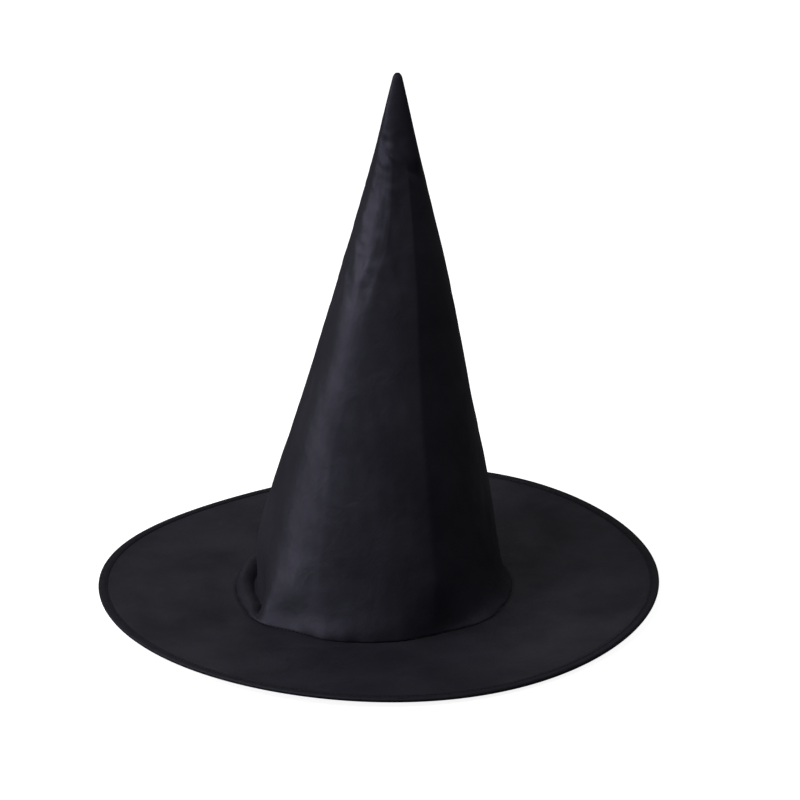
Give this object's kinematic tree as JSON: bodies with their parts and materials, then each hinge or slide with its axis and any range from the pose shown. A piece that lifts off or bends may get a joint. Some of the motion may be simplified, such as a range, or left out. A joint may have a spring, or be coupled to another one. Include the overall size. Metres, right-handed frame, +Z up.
{
  "type": "witch hat",
  "caption": "Pointed costume hat of sheeny black cloth: a leaning cone crown sewn to a wide round brim with a sprung, bound edge.",
  "frame": {"origin": "middle of the brim, on the surface that the hat rests on", "axes": "+Z up through the crown, -Y the front of the hat, +Y the back seam, +X the wearer's left"},
  "size_m": [0.38, 0.38, 0.36],
  "materials": {
    "black_cloth": "sheeny plain-woven polyester",
    "stiff_interlining": "bonded non-woven",
    "black_tape": "ribbed woven tape",
    "black_thread": "twisted polyester thread",
    "spring_steel": "drawn bright",
    "white_label": "woven satin ribbon"
  },
  "bodies": {
    "root": {"crown_cloth": "black_cloth", "crown_interlining": "stiff_interlining", "crown_seam_thread": "black_thread", "brim_top_cloth": "black_cloth", "brim_interlining": "stiff_interlining", "brim_underside_cloth": "black_cloth", "brim_hoop_wire": "spring_steel", "hoop_sleeve": "spring_steel", "edge_binding": "black_tape", "edge_binding_thread": "black_thread", "crown_joint_thread": "black_thread", "sweatband": "black_tape", "sweatband_thread": "black_thread", "care_label": "white_label"}
  },
  "joints": []
}
